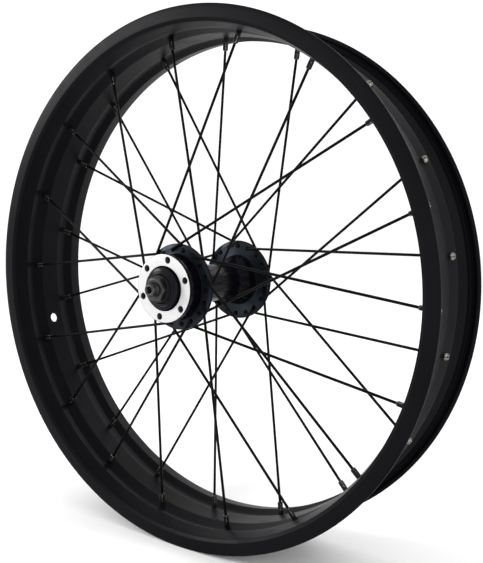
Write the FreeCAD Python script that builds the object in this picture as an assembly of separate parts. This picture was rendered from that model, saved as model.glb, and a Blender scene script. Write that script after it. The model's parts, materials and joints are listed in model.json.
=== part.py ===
import FreeCAD, Part
import math
import os

# A spoked 20 x 4.0 in fat-bike front wheel without its tyre: an 80 mm wide single-wall rim,
# 36 spokes laced three-cross, and a 135 mm disc-brake hub on loose-ball bearings.
# Units are millimetres. The origin is the wheel's centre. The wheel spins about Y, the disc
# side faces -Y, and +Z is up. Angles are measured round the axle from +X towards +Z.
# "out" is a distance from the wheel's middle plane towards one side: side -1 is the disc
# side and side +1 is the far side.

V = FreeCAD.Vector
DISC_SIDE = -1
FAR_SIDE = 1
FULL_TURN = 360.0
EPS = 0.5                        # how far a cutting tool runs past the face that it cuts
TINY = 1e-6

# Rim
RIM_OUTER_R = 210.5
RIM_HALF_WIDTH = 40.0
BEAD_SEAT_R = 203.0              # ETRTO 406
SIDEWALL = 2.0
LIP_ROUND = 0.95
HOOK_DEPTH = 0.9                 # how far the bead hook stands in from the sidewall
HOOK_R = (206.5, 207.6, 208.6)   # foot, lower edge and upper edge of the hook
SHOULDER_OUT, SHOULDER_R = 33.5, 202.4
CORNER_BED_R, CORNER_ROUND = 198.3, 2.4
RIDGE_OUT, RIDGE_R = 26.3, 195.3
VALLEY_OUT, VALLEY_R = 19.0, 198.5
WELL_OUT, WELL_R = 9.0, 195.5
RIM_WALL = 2.4                   # thickness across the well, the valleys and the ridges
FOLD_ROUND = 1.5                 # radius of the folds in the bed
SMALL_ROUND = 0.5

# Spokes and nipples
SPOKES_PER_SIDE = 18
SPOKE_PITCH = FULL_TURN / SPOKES_PER_SIDE
FIRST_HOLE_ANGLE = 7.9           # a far-row rim hole; the disc row lies half a pitch on
CROSS_ANGLE = 3 * SPOKE_PITCH    # three-cross lacing
SPOKE_R = 1.0
ROW_OUT = 14.0                   # nipple rows, each side of the middle plane
ROW_R = 199.3                    # where the nipple heads seat
HEAD_R, HEAD_H = 1.95, 1.3
ELBOW_R = 2.2
ELBOW_SINK = 0.75                # the elbow starts this far inside the flange
HEAD_TAPER = 0.7
NIPPLE_R = 2.0
NIPPLE_LENGTH = 12.6
NIPPLE_HEAD_R, NIPPLE_HEAD_H = 2.95, 2.6
NIPPLE_HEAD_TAPER = 0.9
NIPPLE_FLATS = 3.3
NIPPLE_FLAT_LENGTH = 6.5
NIPPLE_TIP = 0.6
SLOT_WIDTH, SLOT_DEPTH = 1.0, 1.1
NIPPLE_GAP = 0.2                 # round the nipple in its rim hole
THREAD_GAP = 0.02                # round the spoke in its nipple

# Valve
VALVE_R = 4.25
VALVE_ANGLE = FIRST_HOLE_ANGLE + 9 * SPOKE_PITCH + SPOKE_PITCH / 4

# Hub shell
FLANGE_OUT = 39.5
FLANGE_HALF = 1.6
FLANGE_R = 33.5
FLANGE_EDGE_HALF = 0.8
FLANGE_TAPER_R = 30.6
HOLE_CIRCLE_R = 29.0
HUB_HOLE_R = 1.3
HUB_SINK_R, HUB_SINK_DEPTH = 1.9, 0.6
BARREL_R = 15.2
WAIST_R = 14.2
WAIST_OUT = 12.0
WAIST_STEP = 0.6
FLARE_OUT, FLARE_MID_OUT = 23.0, 32.0
FLARE_MID_R, FLARE_R = 16.9, 20.8
FLARE_ROUND = 20.0
ROTOR_FACE_OUT = 57.0
ROTOR_BOSS_R = 26.3
ROTOR_BOSS_DEPTH = 4.0
ROTOR_BOSS_TAPER = 1.6
ROTOR_NECK_R = 25.0
NECK_ROUND = 1.4
FAR_BOSS_R = 19.0
FAR_BOSS_OUT = 52.0
SHELL_BORE_R = 10.5              # clear tunnel between the two bearings

# Rotor mount: six M5 holes on a 44 mm circle
ROTOR_PCD = 44.0
ROTOR_BOLTS = 6
ROTOR_HOLE_R = 2.5
ROTOR_HOLE_DEPTH = 9.0
FIRST_ROTOR_ANGLE = 18.5

# Axle, 10 mm hollow, for a 135 mm fork
AXLE_HALF = 73.0
AXLE_R = 5.0
AXLE_BORE_R = 2.6
AXLE_CHAMFER = 0.7
AXLE_END_OUT, AXLE_END_R = 67.7, 4.8   # the plain ends that sit in the fork's slots
LOCKNUT_FACE_OUT = 67.5
LOCKNUT_BASE_OUT = 63.3
LOCKNUT_FLATS = 17.0
LOCKNUT_CHAMFER_R = 8.0
LOCKNUT_CHAMFER_ANGLE = 30.0
WASHER_OUT = 62.0
WASHER_R = 10.3
WASHER_ROUND = 0.3
CONE_COLLAR_R = 8.5
CONE_FLATS = 15.0
CONE_FLAT_LENGTH = 3.5
FIT_GAP = 0.03                   # threads and keyed washers on the axle

# Bearings: nine 1/4 in balls a side
BALLS = 9
BALL_R = 3.175
RACE_GAP = 0.05
RACE_R = BALL_R + RACE_GAP
PITCH_R = 9.9
BALL_PLANE = {DISC_SIDE: 50.0, FAR_SIDE: 46.0}
CUP_R = 14.4
CUP_INNER_R = 9.3
CUP_DEPTH = 5.0                  # inboard of the ball plane
CUP_LIP = 0.6
CONE_RACE_R = 9.3
CONE_SHOULDER = 1.2
RETAINER_BORE_R, RETAINER_R = 9.7, 12.4
RETAINER_THICK = 1.0
RETAINER_SHIFT = 1.9             # outboard of the ball plane

# Dust caps and boots
CAP_R = 15.8
CAP_MOUTH_R = 17.3
CAP_SEAT_R = 15.9
CAP_WALL = 1.2
CAP_RISE = 2.7                   # straight part, proud of the shell
CAP_FRONT_RISE = 1.7             # height of the cone-shaped front
CAP_DEPTH = 3.0
CAP_SEAT_GAP = 0.2
CAP_HOLE_R = 10.9
BOOT_R = 10.5
BOOT_THICK = 1.6
BOOT_PROUD = 0.5


def polar(radius, degrees, y):
    """The point at a radius and an angle round the axle."""
    turn = math.radians(degrees)
    return V(radius * math.cos(turn), y, radius * math.sin(turn))


def unit(vector):
    return vector * (1 / vector.Length)


def turned(corners, side=1):
    """Turn a closed section round the Y axis.

    Each corner is (out, radius) or (out, radius, rounding).
    """
    points = [V(corner[1], side * corner[0], 0) for corner in corners]
    spans = []
    for index, corner in enumerate(corners):
        point = points[index]
        if len(corner) < 3:
            spans.append((point, None, point))
            continue
        before = unit(points[index - 1] - point)
        after = unit(points[(index + 1) % len(points)] - point)
        half = before.getAngle(after) / 2
        rounding = corner[2]
        reach = rounding / math.tan(half)
        crown = point + unit(before + after) * (rounding / math.sin(half) - rounding)
        spans.append((point + before * reach, crown, point + after * reach))
    edges = []
    for index, (start, crown, end) in enumerate(spans):
        last_end = spans[index - 1][2]
        if (start - last_end).Length > TINY:
            edges.append(Part.LineSegment(last_end, start).toShape())
        if crown:
            edges.append(Part.Arc(start, crown, end).toShape())
    return Part.Face(Part.Wire(edges)).revolve(V(0, 0, 0), V(0, 1, 0), FULL_TURN)


def rod(start, direction, radius, length):
    return Part.makeCylinder(radius, length, start, direction)


def one_solid(shape):
    """Merge split faces and return the only solid that the shape holds."""
    return shape.removeSplitter().Solids[0]


def save(node, solids):
    shape = solids[0] if len(solids) == 1 else Part.makeCompound(solids)
    shape.exportStep(os.path.join("parts", node + ".step"))


# ---------------------------------------------------------------- rim

def rim_half_section():
    """Corners of one half of the rim's section, from its hub side over the lip."""
    half = RIM_HALF_WIDTH
    wall_in = half - SIDEWALL
    hook_in = wall_in - HOOK_DEPTH
    hook_foot, hook_low, hook_high = HOOK_R
    hub_side = [(WELL_OUT, WELL_R, FOLD_ROUND), (VALLEY_OUT, VALLEY_R, FOLD_ROUND),
                (RIDGE_OUT, RIDGE_R, FOLD_ROUND), (half, CORNER_BED_R, CORNER_ROUND)]
    lip = [(half, RIM_OUTER_R, LIP_ROUND), (wall_in, RIM_OUTER_R, LIP_ROUND),
           (hook_in, hook_high, SMALL_ROUND), (hook_in, hook_low, SMALL_ROUND),
           (wall_in, hook_foot, SMALL_ROUND), (wall_in, BEAD_SEAT_R, SMALL_ROUND)]
    tyre_side = [(SHOULDER_OUT, SHOULDER_R, FOLD_ROUND),
                 (RIDGE_OUT + SMALL_ROUND, RIDGE_R + RIM_WALL, FOLD_ROUND),
                 (VALLEY_OUT, VALLEY_R + RIM_WALL, FOLD_ROUND),
                 (WELL_OUT, WELL_R + RIM_WALL, FOLD_ROUND)]
    return hub_side + lip + tyre_side


def make_rim(nipple_tools):
    far_half = rim_half_section()
    disc_half = [(-out, radius, rounding) for out, radius, rounding in reversed(far_half)]
    ring = turned(far_half + disc_half)
    outward = polar(1, VALVE_ANGLE, 0)
    valve = rod(outward * (WELL_R - RIM_WALL), outward, VALVE_R, 3 * RIM_WALL)
    return one_solid(ring.cut(Part.makeCompound(nipple_tools + [valve])))


# ---------------------------------------------------------------- lacing

def lacing(side):
    """Each spoke of one side: its hub angle, its rim angle and whether it exits outboard."""
    start = FIRST_HOLE_ANGLE
    if side == DISC_SIDE:
        start += SPOKE_PITCH / 2
    for count in range(SPOKES_PER_SIDE):
        rim_angle = start + count * SPOKE_PITCH
        forward = (count % 2 == 1) == (side == DISC_SIDE)
        hub_angle = rim_angle + (CROSS_ANGLE if forward else -CROSS_ANGLE)
        outboard = forward == (side == DISC_SIDE)
        yield hub_angle, rim_angle, outboard


def spoke_ends(side, hub_angle, rim_angle, outboard):
    """The hole's centre, the way the shank leaves it, the elbow's plane and the seat."""
    hole = polar(HOLE_CIRCLE_R, hub_angle, side * FLANGE_OUT)
    shank_way = V(0, side if outboard else -side, 0)
    seat = polar(ROW_R, rim_angle, side * ROW_OUT)
    elbow_start = hole + shank_way * (FLANGE_HALF - ELBOW_SINK)
    sideways = seat - elbow_start
    sideways = unit(sideways - shank_way * sideways.dot(shank_way))
    return hole, shank_way, elbow_start, sideways, seat


def elbow_turn(elbow_start, shank_way, sideways, seat):
    """The angle of the bend whose straight end points at the seat."""
    centre = elbow_start + sideways * ELBOW_R
    reach = seat - centre
    along, up = reach.dot(sideways), reach.dot(shank_way)
    distance = math.hypot(along, up)
    return math.pi / 2 - math.atan2(up, along) + math.asin(ELBOW_R / distance)


def make_spoke(side, hub_angle, rim_angle, outboard):
    """A J-bend spoke: head, shank through the flange, elbow and straight length."""
    hole, shank_way, elbow_start, sideways, seat = spoke_ends(
        side, hub_angle, rim_angle, outboard)
    turn = elbow_turn(elbow_start, shank_way, sideways, seat)
    centre = elbow_start + sideways * ELBOW_R

    def on_elbow(angle):
        return centre - sideways * (ELBOW_R * math.cos(angle)) + shank_way * (
            ELBOW_R * math.sin(angle))

    head_foot = hole - shank_way * (FLANGE_HALF + HEAD_H / 2)
    elbow_end = on_elbow(turn)
    path = Part.Wire([Part.LineSegment(head_foot, elbow_start).toShape(),
                      Part.Arc(elbow_start, on_elbow(turn / 2), elbow_end).toShape(),
                      Part.LineSegment(elbow_end, seat).toShape()])
    ring = Part.Wire(Part.makeCircle(SPOKE_R, head_foot, shank_way))
    wire = path.makePipeShell([ring], True, False)
    head_base = hole - shank_way * (FLANGE_HALF + HEAD_H)
    dome = rod(head_base + shank_way * (HEAD_H / 2), shank_way, HEAD_R, HEAD_H / 2 - THREAD_GAP)
    cap = Part.makeCone(HEAD_R - HEAD_TAPER, HEAD_R, HEAD_H / 2, head_base, shank_way)
    return one_solid(wire.fuse([dome, cap])), elbow_end


def make_nipple(seat, inward):
    """A nipple seated on the tyre side of the rim, its body pointing along the spoke."""
    outward = inward * -1
    body = rod(seat, inward, NIPPLE_R, NIPPLE_LENGTH - NIPPLE_TIP)
    tip = Part.makeCone(NIPPLE_R, NIPPLE_R - NIPPLE_TIP, NIPPLE_TIP,
                        seat + inward * (NIPPLE_LENGTH - NIPPLE_TIP), inward)
    head = Part.makeCone(NIPPLE_HEAD_R, NIPPLE_HEAD_R - NIPPLE_HEAD_TAPER, NIPPLE_HEAD_H,
                         seat, outward)
    nipple = body.fuse([tip, head])
    across = unit(outward.cross(V(0, 1, 0)))
    along = outward.cross(across)
    flats_start = seat + inward * (NIPPLE_LENGTH - NIPPLE_FLAT_LENGTH)
    tools = [rod(seat + outward * EPS, inward, SPOKE_R + THREAD_GAP, NIPPLE_LENGTH + 2 * EPS)]
    block = 3 * NIPPLE_R
    for way, other in ((across, along), (across * -1, along), (along, across),
                       (along * -1, across)):
        tools.append(oriented_box(flats_start + way * (NIPPLE_FLATS / 2 + block / 2),
                                  way, other, inward, block, 2 * block,
                                  NIPPLE_FLAT_LENGTH + EPS))
    tools.append(oriented_box(seat + outward * (NIPPLE_HEAD_H - SLOT_DEPTH), across, along,
                              outward, SLOT_WIDTH, 3 * NIPPLE_HEAD_R, SLOT_DEPTH + EPS))
    return one_solid(nipple.cut(Part.makeCompound(tools)))


def oriented_box(base, way, other, up, width, depth, height):
    """A box centred on base in two directions, and rising from it in the third."""
    corner = base - way * (width / 2) - other * (depth / 2)
    corners = [corner, corner + way * width, corner + way * width + other * depth,
               corner + other * depth, corner]
    return Part.Face(Part.makePolygon(corners)).extrude(up * height)


def nipple_tool(seat, inward):
    """The stepped hole for one nipple: a clear hole and a spot face for its head."""
    depth = 8 * RIM_WALL
    hole = rod(seat + inward * depth, inward * -1, NIPPLE_R + NIPPLE_GAP, depth + EPS)
    spot = rod(seat, inward * -1, NIPPLE_HEAD_R + NIPPLE_GAP, 2 * RIM_WALL)
    return hole.fuse(spot)


# ---------------------------------------------------------------- hub shell

def flange_corners(side):
    """Corners of a flange, from its outboard face round to its inboard face."""
    faces = [(FLANGE_HALF, FLANGE_TAPER_R), (FLANGE_EDGE_HALF, FLANGE_R),
             (-FLANGE_EDGE_HALF, FLANGE_R), (-FLANGE_HALF, FLANGE_TAPER_R)]
    return [(side * (FLANGE_OUT + offset), radius, SMALL_ROUND) for offset, radius in faces]


def flare_corners(side, foot_r):
    """Corners of the concave flare from the barrel up to a flange's inboard face."""
    return [(side * FLARE_OUT, foot_r, FLARE_ROUND),
            (side * FLARE_MID_OUT, FLARE_MID_R, FLARE_ROUND),
            (side * (FLANGE_OUT - FLANGE_HALF), FLARE_R, FOLD_ROUND)]


def shell_outside():
    """Corners of the shell's outside, from the rotor face to the far end."""
    disc, far = DISC_SIDE, FAR_SIDE
    boss_back = ROTOR_FACE_OUT - ROTOR_BOSS_DEPTH
    flange_face = FLANGE_OUT + FLANGE_HALF
    corners = [(disc * ROTOR_FACE_OUT, CAP_MOUTH_R),
               (disc * ROTOR_FACE_OUT, ROTOR_BOSS_R, SMALL_ROUND),
               (disc * boss_back, ROTOR_BOSS_R, SMALL_ROUND),
               (disc * (boss_back - ROTOR_BOSS_TAPER), ROTOR_NECK_R, NECK_ROUND),
               (disc * flange_face, ROTOR_NECK_R, NECK_ROUND)]
    corners += flange_corners(disc)
    corners += reversed(flare_corners(disc, BARREL_R))
    corners += [(far * WAIST_OUT, BARREL_R), (far * (WAIST_OUT + WAIST_STEP), WAIST_R)]
    corners += flare_corners(far, WAIST_R)
    corners += reversed(flange_corners(far))
    corners += [(far * flange_face, FAR_BOSS_R, NECK_ROUND),
                (far * FAR_BOSS_OUT, FAR_BOSS_R, SMALL_ROUND),
                (far * FAR_BOSS_OUT, CAP_MOUTH_R)]
    return corners


def shell_bore(side, face_out):
    """Corners of the stepped bore at one end, from the tunnel out to the mouth."""
    cap_floor = face_out - CAP_DEPTH - CAP_SEAT_GAP
    cup_floor = BALL_PLANE[side] - CUP_DEPTH
    mouth = CAP_MOUTH_R - CAP_SEAT_R
    return [(side * cup_floor, SHELL_BORE_R), (side * cup_floor, CUP_R),
            (side * cap_floor, CUP_R), (side * cap_floor, CAP_SEAT_R),
            (side * (face_out - mouth), CAP_SEAT_R)]


def make_hub_shell():
    inside = list(reversed(shell_bore(FAR_SIDE, FAR_BOSS_OUT)))
    inside += shell_bore(DISC_SIDE, ROTOR_FACE_OUT)
    shell = turned(shell_outside() + inside)
    tools = []
    for side in (DISC_SIDE, FAR_SIDE):
        for hub_angle, rim_angle, outboard in lacing(side):
            hole = polar(HOLE_CIRCLE_R, hub_angle, side * FLANGE_OUT)
            start = hole - V(0, FLANGE_HALF + EPS, 0)
            tools.append(rod(start, V(0, 1, 0), HUB_HOLE_R, 2 * (FLANGE_HALF + EPS)))
            exit_way = V(0, side if outboard else -side, 0)
            sink_floor = hole + exit_way * (FLANGE_HALF - HUB_SINK_DEPTH)
            tools.append(Part.makeCone(HUB_HOLE_R, HUB_SINK_R, HUB_SINK_DEPTH, sink_floor,
                                       exit_way))
    for count in range(ROTOR_BOLTS):
        angle = FIRST_ROTOR_ANGLE + count * FULL_TURN / ROTOR_BOLTS
        mouth = polar(ROTOR_PCD / 2, angle, DISC_SIDE * (ROTOR_FACE_OUT + EPS))
        tools.append(rod(mouth, V(0, -DISC_SIDE, 0), ROTOR_HOLE_R, ROTOR_HOLE_DEPTH + EPS))
    return one_solid(shell.cut(Part.makeCompound(tools)))


# ---------------------------------------------------------------- bearings

def race_ring(side):
    """The torus that the balls sweep, with its running gap."""
    centre = V(0, side * BALL_PLANE[side], 0)
    return Part.makeTorus(PITCH_R, RACE_R, centre, V(0, 1, 0))


def shell_face(side):
    return ROTOR_FACE_OUT if side == DISC_SIDE else FAR_BOSS_OUT


def make_cup(side):
    """A pressed-in race that carries the balls from the inboard and outer side."""
    plane = BALL_PLANE[side]
    floor = plane - CUP_DEPTH
    outer = CUP_R - FIT_GAP
    lip = min(plane + RACE_R + CUP_LIP, shell_face(side) - CAP_DEPTH - CAP_SEAT_GAP)
    ring = turned([(floor, CUP_INNER_R), (floor, outer), (lip, outer),
                   (lip, PITCH_R + RACE_R), (plane, PITCH_R + RACE_R),
                   (plane, CUP_INNER_R)], side)
    return one_solid(ring.cut(race_ring(side)))


def make_cone(side):
    """A bearing cone: race, body and a collar with two spanner flats."""
    plane = BALL_PLANE[side]
    bore = AXLE_R + FIT_GAP
    shoulder = plane + RACE_R + CONE_SHOULDER
    collar = shoulder + CONE_RACE_R - CONE_COLLAR_R
    flats_start = WASHER_OUT - CONE_FLAT_LENGTH
    cone = turned([(plane, bore), (plane, CONE_RACE_R), (shoulder, CONE_RACE_R),
                   (collar, CONE_COLLAR_R), (WASHER_OUT, CONE_COLLAR_R),
                   (WASHER_OUT, bore)], side)
    tools = [race_ring(side)]
    for way in (V(0, 0, 1), V(0, 0, -1)):
        base = V(0, side * flats_start, 0) + way * (CONE_FLATS / 2 + CONE_COLLAR_R)
        tools.append(oriented_box(base, way, V(1, 0, 0), V(0, side, 0), 2 * CONE_COLLAR_R,
                                  4 * CONE_COLLAR_R, CONE_FLAT_LENGTH + EPS))
    return one_solid(cone.cut(Part.makeCompound(tools)))


def make_balls(side):
    plane = side * BALL_PLANE[side]
    return [Part.makeSphere(BALL_R, polar(PITCH_R, count * FULL_TURN / BALLS, plane))
            for count in range(BALLS)]


def make_retainer(side):
    """A pressed ring whose nine round pockets keep the balls apart."""
    foot = BALL_PLANE[side] + RETAINER_SHIFT
    ring = turned([(foot, RETAINER_BORE_R), (foot, RETAINER_R),
                   (foot + RETAINER_THICK, RETAINER_R),
                   (foot + RETAINER_THICK, RETAINER_BORE_R)], side)
    pockets = [Part.makeSphere(RACE_R, ball.CenterOfMass) for ball in make_balls(side)]
    return one_solid(ring.cut(Part.makeCompound(pockets)))


def make_dust_cap(side):
    """A cover pressed into the shell, with a hole for the cone."""
    back = shell_face(side) - CAP_DEPTH
    brim = shell_face(side) + CAP_RISE
    front = brim + CAP_FRONT_RISE
    inner = CAP_R - CAP_WALL
    return turned([(back, inner), (back, CAP_R), (brim, CAP_R, 2 * SMALL_ROUND),
                   (front, CAP_HOLE_R), (front - CAP_WALL, CAP_HOLE_R),
                   (brim - CAP_WALL, inner, SMALL_ROUND)], side)


def make_boot(side):
    """The rubber ring on the cone's collar that closes the dust cap's hole."""
    front = shell_face(side) + CAP_RISE + CAP_FRONT_RISE + BOOT_PROUD
    back = front - BOOT_THICK
    return turned([(back, CONE_COLLAR_R), (back, BOOT_R), (front, BOOT_R, SMALL_ROUND),
                   (front, CONE_COLLAR_R)], side)


# ---------------------------------------------------------------- axle

def make_axle():
    """The hollow axle, its two ends turned down to fit the fork's slots."""
    far_half = [(AXLE_END_OUT, AXLE_R), (AXLE_END_OUT, AXLE_END_R),
                (AXLE_HALF - AXLE_CHAMFER, AXLE_END_R), (AXLE_HALF, AXLE_END_R - AXLE_CHAMFER),
                (AXLE_HALF, AXLE_BORE_R)]
    disc_half = [(-out, radius) for out, radius in reversed(far_half)]
    return turned(far_half + disc_half)


def make_washer(side):
    bore = AXLE_R + FIT_GAP
    return turned([(WASHER_OUT, bore), (WASHER_OUT, WASHER_R, WASHER_ROUND),
                   (LOCKNUT_BASE_OUT, WASHER_R, WASHER_ROUND), (LOCKNUT_BASE_OUT, bore)], side)


def make_locknut(side):
    """A hexagon nut whose outer corners are turned down to a round face."""
    sides = 6
    corner_r = LOCKNUT_FLATS / 2 / math.cos(math.pi / sides)
    corners = [polar(corner_r, count * FULL_TURN / sides, side * LOCKNUT_BASE_OUT)
               for count in range(sides + 1)]
    height = LOCKNUT_FACE_OUT - LOCKNUT_BASE_OUT
    hexagon = Part.Face(Part.makePolygon(corners)).extrude(V(0, side * height, 0))
    bore, blank_r = AXLE_R + FIT_GAP, corner_r + EPS
    slope = (blank_r - LOCKNUT_CHAMFER_R) * math.tan(math.radians(LOCKNUT_CHAMFER_ANGLE))
    blank = turned([(LOCKNUT_BASE_OUT, bore), (LOCKNUT_BASE_OUT, blank_r),
                    (LOCKNUT_FACE_OUT - slope, blank_r), (LOCKNUT_FACE_OUT, LOCKNUT_CHAMFER_R),
                    (LOCKNUT_FACE_OUT, bore)], side)
    return one_solid(hexagon.common(blank))


# ---------------------------------------------------------------- assembly

def build_lacing():
    """Write the spokes and nipples, and return the tools for the rim's nipple holes."""
    rim_tools = []
    for side, name in ((DISC_SIDE, "disc"), (FAR_SIDE, "far")):
        outer, inner, nipples = [], [], []
        for hub_angle, rim_angle, outboard in lacing(side):
            spoke, elbow_end = make_spoke(side, hub_angle, rim_angle, outboard)
            seat = polar(ROW_R, rim_angle, side * ROW_OUT)
            inward = unit(elbow_end - seat)
            (outer if outboard else inner).append(spoke)
            nipples.append(make_nipple(seat, inward))
            rim_tools.append(nipple_tool(seat, inward))
        save("spokes_" + name + "_outer", outer)
        save("spokes_" + name + "_inner", inner)
        save("nipples_" + name, nipples)
    return rim_tools


def build_side(side, name):
    save("bearing_cup_" + name, [make_cup(side)])
    save("bearing_cone_" + name, [make_cone(side)])
    save("bearing_balls_" + name, make_balls(side))
    save("ball_retainer_" + name, [make_retainer(side)])
    save("dust_cap_" + name, [make_dust_cap(side)])
    save("seal_boot_" + name, [make_boot(side)])
    save("washer_" + name, [make_washer(side)])
    save("locknut_" + name, [make_locknut(side)])


os.makedirs("parts", exist_ok=True)
save("rim", [make_rim(build_lacing())])
save("hub_shell", [make_hub_shell()])
save("axle", [make_axle()])
build_side(DISC_SIDE, "disc")
build_side(FAR_SIDE, "far")
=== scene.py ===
import bmesh
import bpy
import json
import math
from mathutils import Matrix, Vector


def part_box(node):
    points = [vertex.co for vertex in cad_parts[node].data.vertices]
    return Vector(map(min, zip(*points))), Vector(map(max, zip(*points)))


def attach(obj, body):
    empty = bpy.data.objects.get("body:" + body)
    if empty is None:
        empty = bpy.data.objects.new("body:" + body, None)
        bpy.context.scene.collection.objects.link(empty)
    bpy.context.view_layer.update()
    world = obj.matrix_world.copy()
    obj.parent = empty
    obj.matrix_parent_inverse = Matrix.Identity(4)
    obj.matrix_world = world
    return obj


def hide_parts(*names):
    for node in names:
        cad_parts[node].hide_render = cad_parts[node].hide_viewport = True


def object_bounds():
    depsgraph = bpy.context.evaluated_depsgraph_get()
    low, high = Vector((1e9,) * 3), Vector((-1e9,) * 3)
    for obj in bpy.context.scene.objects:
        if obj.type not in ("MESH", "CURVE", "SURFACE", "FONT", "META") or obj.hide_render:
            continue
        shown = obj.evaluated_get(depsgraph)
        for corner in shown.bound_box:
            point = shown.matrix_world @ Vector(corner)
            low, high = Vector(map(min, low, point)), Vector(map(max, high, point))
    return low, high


# The looks of a spoked fat-bike front wheel. Lengths are in millimetres until a mesh is
# written, and angles are in degrees, measured round the axle from +X towards +Z. "out" is a
# distance from the wheel's middle plane towards one side: -1 is the disc side, +1 the far.

MM = 0.001
DISC_SIDE, FAR_SIDE = -1, 1
SIDE_NAMES = {DISC_SIDE: "disc", FAR_SIDE: "far"}

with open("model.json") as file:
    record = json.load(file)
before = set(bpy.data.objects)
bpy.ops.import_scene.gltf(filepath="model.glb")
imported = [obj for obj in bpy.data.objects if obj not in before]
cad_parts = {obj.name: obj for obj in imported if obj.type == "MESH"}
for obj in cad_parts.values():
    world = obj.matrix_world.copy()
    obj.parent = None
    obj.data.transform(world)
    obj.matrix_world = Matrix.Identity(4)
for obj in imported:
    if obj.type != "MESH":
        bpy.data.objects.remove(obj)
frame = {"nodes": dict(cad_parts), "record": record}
CAD_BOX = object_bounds()
MOUNTS = {mount["name"]: mount for mount in frame["record"]["mounts"]}


def node_extent(node):
    """How far a CAD node reaches in +Y and in radius, and how far in -Y."""
    low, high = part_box(node)
    return low.y / MM, high.y / MM, max(high.x, -low.x, high.z, -low.z) / MM


# ------------------------------------------------------------ sizes

# The frame gives the overall sizes and the mounts. Details are worked out from those or set
# here. A patch is the piece of mesh round a hole that is rebuilt to meet the hole's edge.

TOUCH = 0.02                               # points this close together count as one place
SMALL = 0.5                                # radius of an edge that is only just broken
FOLD = 1.5                                 # radius of the rim bed's folds

RIM_HALF, RIM_R = node_extent("rim")[1:]
LIP, LIP_ROUND = 2.0, 0.95                 # the sidewall's thickness and its rounded edge
HOOK_STEP = 0.9                            # how far the bead hook stands in from the sidewall
HOOK_LOW, HOOK_HIGH, HOOK_FOOT = 2.9, 1.9, 4.0   # the hook's places below the rim's edge
WALL = 2.4
WELL_OUT, WELL_R = 9.0, RIM_R - 15.0
VALLEY_OUT, VALLEY_R = 19.0, RIM_R - 12.0
RIDGE_OUT, RIDGE_R = 26.3, RIM_R - 15.2
SHOULDER_OUT, SHOULDER_R = 33.5, RIM_R - 8.1
BEAD_SEAT_R = RIM_R - 7.5
CORNER_BED_R = RIM_R - 12.2                # where the bed's line would meet the sidewall
CORNER_CUT, CORNER_RISE = 1.6, 2.1         # the bevel that joins them instead
CORNER_ROUND = (0.35, 0.45)
WELL_CELLS = 11                            # mesh cells across the well

SPOKES_PER_SIDE = 18
PITCH = 360 / SPOKES_PER_SIDE
FIRST_HOLE = 7.9
CROSS = 3 * PITCH
SPOKE_R = 1.08                             # the CAD has 1.0, which renders too thin
ROW_OUT, ROW_R = 14.0, RIM_R - 11.2
ELBOW_R, ELBOW_SINK = 2.2, 0.75
HEAD_R, HEAD_H = 1.95, 1.3
NIPPLE_R, NIPPLE_LENGTH, NIPPLE_FLAT_LENGTH = 2.0, 12.6, 6.5
NIPPLE_FLATS = 3.3
NIPPLE_HEAD_R, NIPPLE_HEAD_H = 2.95, 2.6
SLOT_HALF, SLOT_DEPTH = 0.5, 1.1
NIPPLE_HOLE_R = NIPPLE_R + 0.2
NIPPLE_BEVEL, NIPPLE_BEVEL_DEPTH = 0.3, 0.25
SEAT_R, SEAT_FLOOR_R, SEAT_LIFT = 3.2, 3.15, 0.02   # the flat cut for each nipple's head
BED_RING_TYRE_R, BED_RING_HUB_R = 3.7, 3.3   # rings of the patch that still lie on the bed
# Where the rim's mesh columns stand, in degrees from each nipple hole.
HOLE_COLUMNS = (-5, -3.75, -2.5, -1.4, -0.93, -0.47, 0, 0.47, 0.93, 1.4, 2.5, 3.75)
NIPPLE_REACH, VALVE_REACH = 3, 2           # columns that a patch takes on each side of a hole

VALVE_R = MOUNTS["valve_hole"]["dims"]["r_mm"]
VALVE_ANGLE = math.degrees(math.atan2(*reversed(MOUNTS["valve_hole"]["pos_m"][::2])))
VALVE_BEVEL, VALVE_MARGIN, VALVE_PATCH_OUT = 0.25, 0.9, 7.2

HUB_DISC_END, HUB_FAR_END, FLANGE_R = node_extent("hub_shell")
FLANGE_OUT, FLANGE_HALF, FLANGE_EDGE_HALF = 39.5, 1.6, 0.8
FLANGE_TAPER_R, FLANGE_ROUND = FLANGE_R - 2.9, 3.0
HOLE_CIRCLE_R = FLANGE_R - 4.5
HUB_HOLE_R, HUB_HOLE_BEVEL = 1.3, 0.15
HUB_SINK_R, HUB_SINK_DEPTH = 1.9, 0.6      # countersink on the side that the wire leaves from
PATCH_LOW_R, PATCH_HIGH_R = HOLE_CIRCLE_R - 2.4, FLANGE_TAPER_R + 0.45
HUB_TURNS, HUB_HOLE_REACH, ROTOR_REACH = 180, 3, 5   # columns in all, and beside each hole
ROTOR_R = MOUNTS["rotor_bolts"]["dims"]["pcd_mm"] / 2
ROTOR_HOLE_R = MOUNTS["rotor_bolts"]["dims"]["hole_r_mm"]
ROTOR_ANGLES = [18.5 + 60 * count for count in range(6)]
ROTOR_BEVEL, ROTOR_THREAD_DEPTH, ROTOR_HOLE_DEPTH = 0.35, 0.35, 9.0
ROTOR_THREADS, ROTOR_THREAD_SHORT = 18, 1.4   # thread rows, and how far they stop short
ROTOR_TIP_R, ROTOR_TIP_DEPTH = 0.5, ROTOR_HOLE_DEPTH - 0.1
ROTOR_PATCH_R = (18.4, 25.6)
BOSS_R, BOSS_DEPTH, BOSS_ROUND = 26.3, 4.0, 0.4
NECK_R, NECK_TAPER, NECK_ROUND = 25.0, 1.6, 1.4
BARREL_R, WAIST_R, WAIST_OUT, WAIST_STEP, WAIST_ROUND = 15.2, 14.2, 12.0, 0.6, 0.3
FLARE_OUT, FLARE_MID_OUT, FLARE_MID_R, FLARE_R = 23.0, 32.0, 16.9, 20.8
FLARE_ROUND = 20.0
FAR_BOSS_R, FAR_BOSS_ROUND = 19.0, 0.6
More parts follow.
